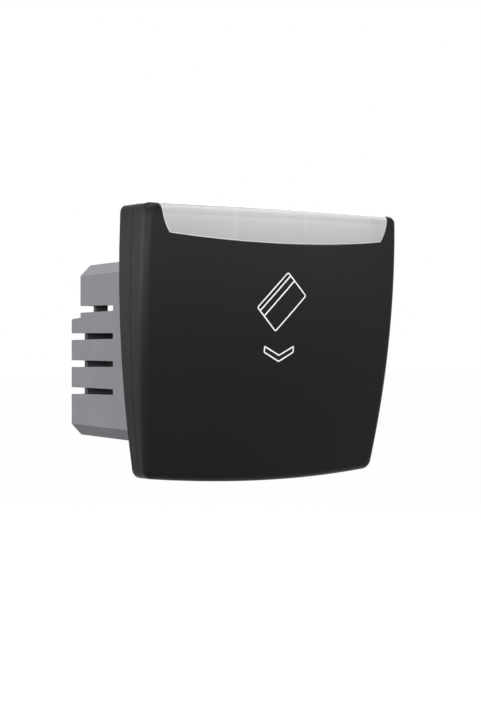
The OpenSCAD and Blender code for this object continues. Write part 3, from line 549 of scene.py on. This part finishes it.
# Finishes of the pieces inside: colour, then the shader's values
INNER_FINISHES = {
    # Waxy, nearly opaque white with a soft sheen
    "White acetal, moulded": ("#E2E1DB", {
        "tone": 0.02, "tone_mm": 4, "rough": 0.38, "rough_swing": 0.04,
        "grain_mm": 0.3, "grain_depth_mm": 0.002}),
    # A plain, strong red with a smooth skin
    "Red polyester, moulded": ("#B5352A", {
        "tone": 0.03, "tone_mm": 2, "rough": 0.35, "rough_swing": 0.04,
        "grain_mm": 0.2, "grain_depth_mm": 0.002}),
    # Dull black, a little cloudy from its filler
    "Black epoxy, moulded": ("#0C0C0D", {
        "tone": 0.05, "tone_mm": 3, "rough": 0.6, "rough_swing": 0.06,
        "grain_mm": 0.2, "grain_depth_mm": 0.004,
        "Specular IOR Level": 0.08}),
    # Bright bluish metal with a slightly uneven plating
    "Zinc plated steel": ("#C2C4C8", {
        "tone": 0.05, "tone_mm": 1.5, "rough": 0.3, "rough_swing": 0.08,
        "grain_mm": 0.15, "grain_depth_mm": 0.002,
        "Metallic": 1.0}),
    # Bright grey metal with fine streaks, which run along the hinge
    "Drawn steel wire": ("#B9BBBF", {
        "tone": 0.04, "tone_mm": 2, "rough": 0.25, "rough_swing": 0.06,
        "grain_mm": 0.05, "grain_depth_mm": 0.001,
        "stretch": (0.1, 1, 1), "Metallic": 1.0}),
    # Soft silvery metal with a warm cast, patchy from the bath
    "Tinned copper": ("#CFCDC4", {
        "tone": 0.06, "tone_mm": 1.5, "rough": 0.32, "rough_swing": 0.08,
        "grain_mm": 0.1, "grain_depth_mm": 0.002,
        "Metallic": 1.0}),
    # Pale gold, because the nickel is thin
    "Nickel flashed brass": ("#CDB176", {
        "tone": 0.06, "tone_mm": 2, "rough": 0.3, "rough_swing": 0.08,
        "grain_mm": 0.1, "grain_depth_mm": 0.002,
        "Metallic": 1.0}),
    # Deep green lacquer, uneven where it runs over the copper
    "Glass laminate with green solder mask": ("#1F5A39", {
        "tone": 0.12, "tone_mm": 2.5, "rough": 0.3, "rough_swing": 0.05,
        "grain_mm": 0.4, "grain_depth_mm": 0.004}),
    # Clear as glass, with smooth faces
    "Clear acrylic, moulded": ("#F0F4F4", {
        "tone": 0.01, "tone_mm": 4, "rough": 0.06, "rough_swing": 0.02,
        "grain_mm": 0.5, "grain_depth_mm": 0.001,
        "Transmission Weight": 1.0, "IOR": 1.49}),
    # Clear with a slight haze
    "Water clear epoxy, cast": ("#EDF0EC", {
        "tone": 0.01, "tone_mm": 2, "rough": 0.1, "rough_swing": 0.03,
        "grain_mm": 0.5, "grain_depth_mm": 0.001,
        "Transmission Weight": 0.7, "IOR": 1.52}),
    # Brick red box with a half matt skin
    "Red capacitor case, moulded": ("#9C2A20", {
        "tone": 0.04, "tone_mm": 3, "rough": 0.4, "rough_swing": 0.05,
        "grain_mm": 0.3, "grain_depth_mm": 0.003}),
    # Thin blue-black film, tight and half glossy
    "Dark shrunk sleeve": ("#22283A", {
        "tone": 0.05, "tone_mm": 3, "rough": 0.3, "rough_swing": 0.05,
        "grain_mm": 0.4, "grain_depth_mm": 0.003}),
    # Glossy blue coat, a little lumpy from dipping
    "Blue dipped lacquer": ("#23509A", {
        "tone": 0.08, "tone_mm": 1.5, "rough": 0.25, "rough_swing": 0.05,
        "grain_mm": 0.6, "grain_depth_mm": 0.01}),
}

NODE_FINISHES = {
    "frame_screws": "Zinc plated steel",
    "light_guide": "Clear acrylic, moulded",
    "lever_pin": "Drawn steel wire",
    "switch_case": "Black epoxy, moulded",
    "switch_plunger": "Red polyester, moulded",
    "switch_pins": "Tinned copper",
    "circuit_board": "Glass laminate with green solder mask",
    "indicator_lamp": "Water clear epoxy, cast",
    "relay": "Black epoxy, moulded",
    "film_capacitor": "Red capacitor case, moulded",
    "can_capacitor": "Dark shrunk sleeve",
    "varistor": "Blue dipped lacquer",
    "control_chip": "Black epoxy, moulded",
    "terminal_cages": "Nickel flashed brass",
    "terminal_screws": "Zinc plated steel",
    "terminal_bars": "Tinned copper",
    "card_lever": "White acetal, moulded",
}


def inner_finish(name):
    """The finish of a piece inside, made once."""
    made = bpy.data.materials.get(name)
    if made is None:
        code, values = INNER_FINISHES[name]
        made = shader(name, linear(code), **values)
    return made


# Front cover

# Gaps at the parting line, at snaps and at seats
PARTING_GAP = 0.12*MM
SNAP_GAP = 0.25*MM
SEAT = 0.1*MM
# The card's way: half its width, its stop, the ribs beside it, which end below the window's lip, and the
# floor under it
CARD_HALF = 27.7*MM
CARD_STOP = -24.5*MM
RIB_T = 1.2*MM
RIB_TOP_GAP = 0.3*MM
FLOOR_T = 1.2*MM
# The bed behind the card, and the ribs that press the card to it, with their lead-in
BED_SINK = 0.7*MM
BED_T = 1.4*MM
PRESS_RIBS = (-22*MM, -11*MM, 11*MM, 22*MM)
PRESS_GAP = 1.56*MM
LEAD_Z = -1*MM
LEAD_IN = 3*MM
# The snap hooks inside the rear frame's wall
FRAME_WALL = 2*MM
HOOK_W, HOOK_T, HOOK_Z = 6*MM, 1.2*MM, 12*MM
BARB, BARB_L = 0.6*MM, 0.7*MM
# Steps down the side, up a rib and across the floor
N_WALL, N_RIB, N_FLOOR = 3, 12, 25


def cover_rim(h, edge):
    """The cover's rim: a profile carried along the edge line.

    The profile turns from the front over a quarter circle to the side, runs to the parting gap, steps in by
    the wall and returns to the inner front."""
    r, t = h.edge_radius, h.wall
    a = np.linspace(math.pi/2, 0, N_ROUND)
    fall = 1 - np.arange(1, N_WALL + 1)/N_WALL
    inset = np.concatenate([r*(1 - np.cos(a)), np.zeros(N_WALL), [t, t]])
    on_front = np.concatenate([np.ones(N_ROUND), fall, [0, 1]])
    back = np.concatenate([r*(1 - np.sin(a)), r*fall[:-1], [-PARTING_GAP, -PARTING_GAP, t]])
    lines = []
    for e, f, b in zip(inset, on_front, back):
        x, z = edge.whole(e).T
        lines.append(np.stack([x, f*front_depth(h, x, z) + (1 - f)*parting_depth(h, z) + b, z], -1))
    rim = np.stack(lines)
    return [grid(rim), fan(rim[:, 0]), fan(rim[:, -1])]


def cover_faces(h, edge):
    """The cover's front and inner front, which is the front moved back by the wall.

    Each is a patch between the edge line and the window's place, and the place's own wall joins the two."""
    parts, borders = [], []
    for e, b in ((h.edge_radius, 0.0), (h.wall, h.wall)):
        half = edge.half(e)
        notch = edge.place.line(h.top - e)
        high = np.concatenate([half[edge.i_top:0:-1], notch])
        low = half[edge.i_low:]
        right = half[edge.i_top:edge.i_low + 1][::-1]
        v = np.concatenate([[0], np.cumsum(np.linalg.norm(np.diff(right, axis=0), axis=1))])
        u = np.concatenate([edge.share/2, 1 - edge.share[-2::-1]/2])
        patch = coons(mirrored(low)[::-1], mirrored(high)[::-1], right*MIRROR, right, u, v/v[-1])
        parts.append(grid(on_face(h, patch, b)))
        borders.append(on_face(h, mirrored(notch), b))
    return parts + [grid(np.stack(borders))]


def on_face(h, points, back):
    """Points of the front view laid on the front, moved back by a length."""
    x, z = np.moveaxis(points, -1, 0)
    return np.stack([x, front_depth(h, x, z) + back, z], -1)


def rib_root(h, x, z):
    """Depth of a rib's root, in the middle of the front's wall."""
    return front_depth(h, x, z) + h.wall/2


def rib_end(h, z):
    """Depth at which a rib ends, a gap before the parting plane."""
    return parting_depth(h, z) - SNAP_GAP


def side_x(h, z, inset):
    """Half width of the head at a height, less an inset: the circle of the bowed side."""
    return h.width/2 - h.side_radius + math.sqrt((h.side_radius - inset)**2 - (z - h.widest)**2)


def upright_rib(h, x0, x1, z):
    """A rib between two widths: a rectangle from its root to its end, carried up."""
    corner = ((x0, rib_root(h, x0, z)), (x1, rib_root(h, x1, z)), (x1, rib_end(h, z)), (x0, rib_end(h, z)))
    return loft(np.stack([np.stack([np.full_like(z, x), y, z], -1) for x, y in corner], 1))


def card_ribs(h, w):
    """The two upright ribs beside the card's way."""
    z = np.linspace(CARD_STOP - FLOOR_T, w.low - w.lip - RIB_TOP_GAP, N_RIB)
    return [part for s in (-1, 1) for part in upright_rib(h, s*CARD_HALF, s*(CARD_HALF + RIB_T), z)]


def pocket_floor(h):
    """The floor that stops the card: a rectangle from the front to the parting plane, carried across."""
    low = CARD_STOP - FLOOR_T
    x = np.linspace(-CARD_HALF - RIB_T, CARD_HALF + RIB_T, N_FLOOR)
    corner = ((rib_root(h, x, low), low), (rib_root(h, x, CARD_STOP), CARD_STOP),
              (np.full_like(x, rib_end(h, CARD_STOP)), CARD_STOP), (np.full_like(x, rib_end(h, low)), low))
    return loft(np.stack([np.stack([x, y, np.full_like(x, z)], -1) for y, z in corner], 1))


def press_ribs(h):
    """The ribs that press the card to its bed: a side view's outline with a lead-in, carried across."""
    bed_low, bed_high = parting_depth(h, np.array([CARD_STOP, LEAD_Z])) + BED_SINK
    parts = []
    for x in PRESS_RIBS:
        line = np.array([(rib_root(h, x, CARD_STOP), CARD_STOP), (bed_low - PRESS_GAP, CARD_STOP),
                         (bed_high - PRESS_GAP, LEAD_Z - LEAD_IN), (bed_high - h.thickness/2, LEAD_Z),
                         (rib_root(h, x, LEAD_Z), LEAD_Z)])
        parts += loft(np.stack([np.insert(line, 0, x + s*RIB_T/2, 1) for s in (-1, 1)]))
    return parts


def snap_hooks(h):
    """The hooks that catch behind the bed: a barbed outline in the view from above, carried up, on a rib."""
    parts = []
    for middle in (-HOOK_Z, HOOK_Z):
        foot = middle - HOOK_W/2
        face = side_x(h, foot, FRAME_WALL) - SNAP_GAP
        catch = parting_depth(h, foot) + BED_SINK + BED_T + SEAT
        root = parting_depth(h, middle) - 2*SNAP_GAP
        line = np.array([(face - HOOK_T, root), (face, root), (face, catch + BARB_L),
                         (face - HOOK_T, catch + BARB_L), (face - HOOK_T - BARB, catch),
                         (face - HOOK_T, catch)])
        ends = np.array([foot, middle + HOOK_W/2])
        for s in (-1, 1):
            parts += loft(np.stack([np.insert(line*np.array([s, 1]), 2, z, 1) for z in ends]))
            parts += upright_rib(h, s*(face - HOOK_T), s*side_x(h, middle, h.wall/2), ends)
    return parts


class KEYCARD_OT_front_cover(bpy.types.Operator):
    """Build the front cover as a crowned shell with its ribs and hooks"""
    bl_idname = "keycard.front_cover"
    bl_label = "Front cover"

    def execute(self, context):
        h, w, looks = context.scene.keycard_head, context.scene.keycard_window, context.scene.keycard_looks
        edge = CoverEdge(h, WindowPlace(h, w, 0.0))
        parts = cover_rim(h, edge) + cover_faces(h, edge)
        parts += card_ribs(h, w) + pocket_floor(h) + press_ribs(h) + snap_hooks(h)
        mesh_piece("front_cover_shell", parts, cover_abs(looks), looks.moulded_edge,
                   SHARP_SHELL, ("front_cover",))
        return {"FINISHED"}


# Light window and print

LIP_R = 0.5*MM
INK_T = 0.02*MM
# The window's broken edge as a share of the other mouldings', and the drop of the ends of its rim, a painted
# highlight, as a share of the rim's width
WINDOW_EDGE_SHARE, RIM_DROP_SHARE = 1/4, 1/8
# Columns across the window and points up each, cuts of a printed stretch and points of a rounded corner
N_ACROSS, N_UP, N_CUT, N_BEND = 97, 30, 8, 7

# Corners of the printed signs on the front, x and z in mm: a tilted card, its two stripes and an arrow head
SIGN_CARD = ((1.43, 16.86), (6.51, 11.9), (-1.24, 4.17), (-6.24, 9.23))
SIGN_STRIPES = (((2.07, 16.12), (-5.45, 8.62)), ((3.16, 15.03), (-4.46, 7.37)))
SIGN_ARROW = ((-3.85, 0.87), (0.1, -1.04), (3.85, 0.87), (3.85, -0.37), (0.1, -2.36), (-3.85, -0.37))
# Reach of the signs' rounded corners in mm
CARD_REACH, ARROW_REACH = 0.45, 0.14


def window_plate(h, place, front, back, top, r):
    """A plate that follows the head's front: columns across, each a closed profile from front to back.

    A column stands on the bowed lower edge and leans with the ends, its x a fixed share of the half width at
    each height. The profile rises up the front, turns over a quarter circle and returns down the back."""
    u = np.sin(np.linspace(-math.pi/2, math.pi/2, N_ACROSS))[:, None]
    z0 = place.low_edge(u*place.foot[0])
    rise = np.linspace(0, 1, N_UP)[None]**2
    a = np.linspace(0, math.pi/2, N_ROUND)[None, 1:]
    z = np.concatenate([z0 + (top - r - z0)*rise, np.repeat(top - r + r*np.sin(a), len(u), 0)], 1)
    d = np.concatenate([np.full(N_UP, front), front + r*(1 - np.cos(a[0]))])
    n = len(d)
    z = np.concatenate([z, z[:, ::-1]], 1)
    d = np.concatenate([d, np.full(n, back)])[None]
    x = u*place.half_width(z)
    body = np.stack([x, front_depth(h, x, z) + d, z], -1)
    ends = [np.stack([body[k, :n], body[k, :n - 1:-1]]) for k in (0, -1)]
    return [grid(body, True), grid(ends[0]), grid(ends[1])]


def rounded(line, reach):
    """A closed line whose corners are cut back by a length, with a parabola's arc between the two cuts."""
    p = np.array(line)
    back, ahead = np.roll(p, 1, 0) - p, np.roll(p, -1, 0) - p
    start = p + reach*back/np.linalg.norm(back, axis=1)[:, None]
    end = p + reach*ahead/np.linalg.norm(ahead, axis=1)[:, None]
    s = np.linspace(0, 1, N_BEND)[None, :, None]
    bend = (1 - s)**2*start[:, None] + 2*s*(1 - s)*p[:, None] + s*s*end[:, None]
    return bend.reshape(-1, 2)


def ribbon(h, line, width, closed):
    """A drawn line, given in mm: each stretch cut finely, with mitred corners, laid a little over the front.

    A mitre is square to the sum of both headings, and its length gives each stretch its full width."""
    p = np.array(line)*MM
    n = len(p)
    ahead = np.roll(p, -1, 0) - p
    ahead /= np.linalg.norm(ahead, axis=1)[:, None]
    behind = np.roll(ahead, 1, 0)
    if not closed:
        behind[0], ahead[-1] = ahead[0], behind[-1]
    mitre = np.stack([-(ahead + behind)[:, 1], (ahead + behind)[:, 0]], -1)
    mitre /= np.einsum("ij,ij->i", np.stack([-ahead[:, 1], ahead[:, 0]], -1), mitre)[:, None]
    steps = np.arange(N_CUT)[None, :, None]/N_CUT
    last = n if closed else n - 1
    sides = []
    for s in (-1/2, 1/2):
        q = p + s*width*mitre
        stretch = (np.roll(q, -1, 0) - q)[:last, None]
        sides.append(np.concatenate([(q[:last, None] + steps*stretch).reshape(-1, 2), q[last % n][None]]))
    x, z = np.moveaxis(np.stack(sides), -1, 0)
    y = face_depth(h, x, z)
    front, rear = [np.stack([x, y + d, z], -1) for d in (-INK_T, INK_T)]
    ring = np.stack([front[0], front[1], rear[1], rear[0]], 1)
    return [grid(ring, True)] if closed else loft(ring)


class KEYCARD_OT_light_window(bpy.types.Operator):
    """Build the frosted light window with the lip that holds it"""
    bl_idname = "keycard.light_window"
    bl_label = "Light window"

    def execute(self, context):
        h, w, looks = context.scene.keycard_head, context.scene.keycard_window, context.scene.keycard_looks
        parts = window_plate(h, WindowPlace(h, w, -w.gap), 0.0, w.thickness, h.top, h.edge_radius)
        parts += window_plate(h, WindowPlace(h, w, w.lip), h.wall + SEAT, w.thickness,
                              h.top - h.wall - SEAT, LIP_R)
        mesh_piece("light_window_plate", parts, window_polycarbonate(looks),
                   looks.moulded_edge*WINDOW_EDGE_SHARE, SHARP_SHELL, ("light_window",))
        # The rim: a ribbon of painted highlight along the window's ends and lower edge
        place = WindowPlace(h, w, -w.gap - w.rim/2)
        line = mirrored(place.line(h.top - w.rim*RIM_DROP_SHARE))/MM
        mesh_piece("light_window_painted_highlight", ribbon(h, line, w.rim, False), window_painted_edge_highlight(looks))
        return {"FINISHED"}


class KEYCARD_OT_print(bpy.types.Operator):
    """Lay the printed card sign and arrow on the front"""
    bl_idname = "keycard.print"
    bl_label = "Printed signs"

    def execute(self, context):
        h, looks = context.scene.keycard_head, context.scene.keycard_looks
        parts = ribbon(h, rounded(SIGN_CARD, CARD_REACH), looks.line, True)
        parts += ribbon(h, rounded(SIGN_ARROW, ARROW_REACH), looks.line, True)
        for stripe in SIGN_STRIPES:
            parts += ribbon(h, stripe, looks.line, False)
        mesh_piece("printed_signs", parts, pad_ink(looks))
        return {"FINISHED"}


# Pieces that keep the CAD model's shape


class KEYCARD_OT_housing(bpy.types.Operator):
    """Finish the rear frame, the carrier and the vented housing"""
    bl_idname = "keycard.housing"
    bl_label = "Frame and housing"

    def execute(self, context):
        looks = context.scene.keycard_looks
        cad_piece("rear_frame_moulding", "rear_frame", frame_abs(looks), looks.moulded_edge)
        cad_piece("module_carrier_moulding", "module_carrier", carrier_polycarbonate(looks),
                  looks.moulded_edge)
        cad_piece("rear_housing_moulding", "rear_housing", housing_polycarbonate(looks),
                  looks.moulded_edge)
        return {"FINISHED"}


class KEYCARD_OT_spring(bpy.types.Operator):
    """Copy the return spring's wire and give it its finish, fixed to no body"""
    bl_idname = "keycard.spring"
    bl_label = "Return spring"

    def execute(self, context):
        wire = cad_piece("lever_spring_wire", "lever_spring", inner_finish("Drawn steel wire"),
                         0.0, SHARP_WIRE, None)
        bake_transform(wire)
        return {"FINISHED"}


class KEYCARD_OT_works(bpy.types.Operator):
    """Give the lever, the switch, the electronics and the terminals their finishes"""
    bl_idname = "keycard.works"
    bl_label = "Works inside"

    def execute(self, context):
        for node, finish in NODE_FINISHES.items():
            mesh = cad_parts[node].data
            mesh.materials.clear()
            mesh.materials.append(inner_finish(finish))
        return {"FINISHED"}


# Stage

WHITE = "#FFFFFF"
FLOOR_Z = -0.11
FLOOR_REACH = 6.0
FLOOR_PAINT = "#3C3C3C"
# Strength of the floor to the eye, which with the lamps' light on its paint comes to white
FLOOR_GLOW = 0.978
# Strength of the world as a light; to the eye it is 1, which is white
WORLD_FILL = 0.2
LAMP_AWAY = 0.7
# Degrees to the left of the front, degrees above level, width and height in metres, and watts
LAMPS = {
    "Right strip": (-30, 4, (0.56, 0.1), 1.0),
    "Front strip": (4, 4, (0.3, 0.1), 0.9),
    "Front softbox": (12, 45, (0.35, 0.35), 1.3),
    "Left front strip": (43, 4, (0.55, 0.1), 2.8),
    "Left strip": (90, 4, (0.55, 0.1), 2.5),
    "Left rear strip": (126, 6, (0.3, 0.1), 1.1),
    "Left softbox": (80, 50, (0.4, 0.4), 2.9),
    "Top softbox": (0, 82, (0.35, 0.35), 2.0),
    "Right rear softbox": (-140, 25, (0.5, 0.4), 4.8),
}


def eye_rays(tree):
    """1 for rays from the camera and for rays that a gloss or a clear piece sends on, else 0."""
    path = add(tree, "ShaderNodeLightPath")
    total = add(tree, "ShaderNodeMath", {0: path.outputs["Is Camera Ray"], 1: path.outputs["Is Glossy Ray"]},
                operation="MAXIMUM")
    return add(tree, "ShaderNodeMath", {0: total.outputs[0], 1: path.outputs["Is Transmission Ray"]},
               operation="MAXIMUM").outputs[0]


def floor_paint():
    """Pale studio floor: white to the eye and in reflections, and it still takes the object's shadow."""
    material = bpy.data.materials.new("Pale studio floor, matt paint")
    material.use_nodes = True
    tree = material.node_tree
    tree.nodes.clear()
    seen = eye_rays(tree)
    paint = add(tree, "ShaderNodeBsdfDiffuse", {"Color": linear(FLOOR_PAINT)})
    glow = add(tree, "ShaderNodeEmission", {"Color": linear(WHITE), "Strength": FLOOR_GLOW})
    dark = add(tree, "ShaderNodeEmission", {"Color": linear(WHITE), "Strength": 0.0})
    lit = add(tree, "ShaderNodeMixShader", {0: seen, 1: dark.outputs[0], 2: glow.outputs[0]})
    both = add(tree, "ShaderNodeAddShader", {0: paint.outputs[0], 1: lit.outputs[0]})
    add(tree, "ShaderNodeOutputMaterial", {"Surface": both.outputs[0]})
    return material


def lay_floor(scene):
    """The floor: one square face."""
    corners = [(x*FLOOR_REACH, y*FLOOR_REACH, FLOOR_Z) for x, y in ((-1, -1), (1, -1), (1, 1), (-1, 1))]
    mesh = bpy.data.meshes.new("floor")
    mesh.from_pydata(corners, [], [(0, 1, 2, 3)])
    mesh.materials.append(floor_paint())
    floor = bpy.data.objects.new("floor", mesh)
    scene.collection.objects.link(floor)


def set_world(scene):
    """The world: a weak fill on the object, and white to the eye."""
    world = bpy.data.worlds.new("White studio")
    world.use_nodes = True
    tree = world.node_tree
    tree.nodes.clear()
    strength = add(tree, "ShaderNodeMapRange", {"Value": eye_rays(tree), "To Min": WORLD_FILL, "To Max": 1.0})
    sky = add(tree, "ShaderNodeBackground", {"Color": linear(WHITE), "Strength": strength.outputs[0]})
    add(tree, "ShaderNodeOutputWorld", {"Surface": sky.outputs[0]})
    scene.world = world


def hang_lamps(scene):
    """The lamps: soft boxes and strips on a ball round the object, each turned to its middle."""
    for name, (turn, rise, (width, height), power) in LAMPS.items():
        lamp = bpy.data.lights.new(name, "AREA")
        lamp.shape = "RECTANGLE"
        lamp.energy, lamp.size, lamp.size_y = power, width, height
        held = bpy.data.objects.new(name, lamp)
        turn, rise = math.radians(turn), math.radians(rise)
        held.location = LAMP_AWAY*Vector((-math.cos(rise)*math.sin(turn), -math.cos(rise)*math.cos(turn),
                                          math.sin(rise)))
        held.rotation_euler = (-held.location).to_track_quat("-Z", "Y").to_euler()
        held.visible_camera = False
        scene.collection.objects.link(held)


def set_camera(scene):
    """The camera at the photograph's viewing angle."""
    lens = bpy.data.cameras.new("Camera")
    lens.sensor_fit = "AUTO"
    lens.sensor_width = CAMERA_SENSOR
    lens.lens = CAMERA_LENS
    eye = bpy.data.objects.new("Camera", lens)
    eye.location = CAMERA_AT
    eye.rotation_euler = (math.pi/2, 0.0, CAMERA_YAW)
    scene.collection.objects.link(eye)
    scene.camera = eye


class KEYCARD_OT_stage(bpy.types.Operator):
    """Set the floor, the world, the lamps and the camera"""
    bl_idname = "keycard.stage"
    bl_label = "Stage"

    def execute(self, context):
        context.scene.view_settings.view_transform = "Standard"
        for part in (lay_floor, set_world, hang_lamps, set_camera):
            part(context.scene)
        return {"FINISHED"}


# Add-on

class KEYCARD_PT_panel(bpy.types.Panel):
    """Lists the steps that build the switch"""
    bl_idname = "KEYCARD_PT_panel"
    bl_label = "Key Card Switch"
    bl_space_type = "VIEW_3D"
    bl_region_type = "UI"
    bl_category = "Key Card"

    def draw(self, context):
        for step in STEPS:
            self.layout.operator(step.bl_idname)
        for name in GROUPS:
            group = getattr(context.scene, name)
            for key in group.__annotations__:
                self.layout.prop(group, key)


GROUPS = {"keycard_head": KeyCardHead, "keycard_window": KeyCardWindow, "keycard_looks": KeyCardLooks}
STEPS = (KEYCARD_OT_front_cover, KEYCARD_OT_light_window, KEYCARD_OT_print, KEYCARD_OT_housing,
         KEYCARD_OT_spring, KEYCARD_OT_works, KEYCARD_OT_stage)
CLASSES = (*GROUPS.values(), *STEPS, KEYCARD_PT_panel)


def register():
    for item in CLASSES:
        bpy.utils.register_class(item)
    for name, group in GROUPS.items():
        setattr(bpy.types.Scene, name, PointerProperty(type=group))


def unregister():
    for name in GROUPS:
        delattr(bpy.types.Scene, name)
    for item in reversed(CLASSES):
        bpy.utils.unregister_class(item)


def main():
    register()
    for step in STEPS:
        getattr(bpy.ops.keycard, step.bl_idname.split(".")[1])()


if __name__ == "__main__":
    main()
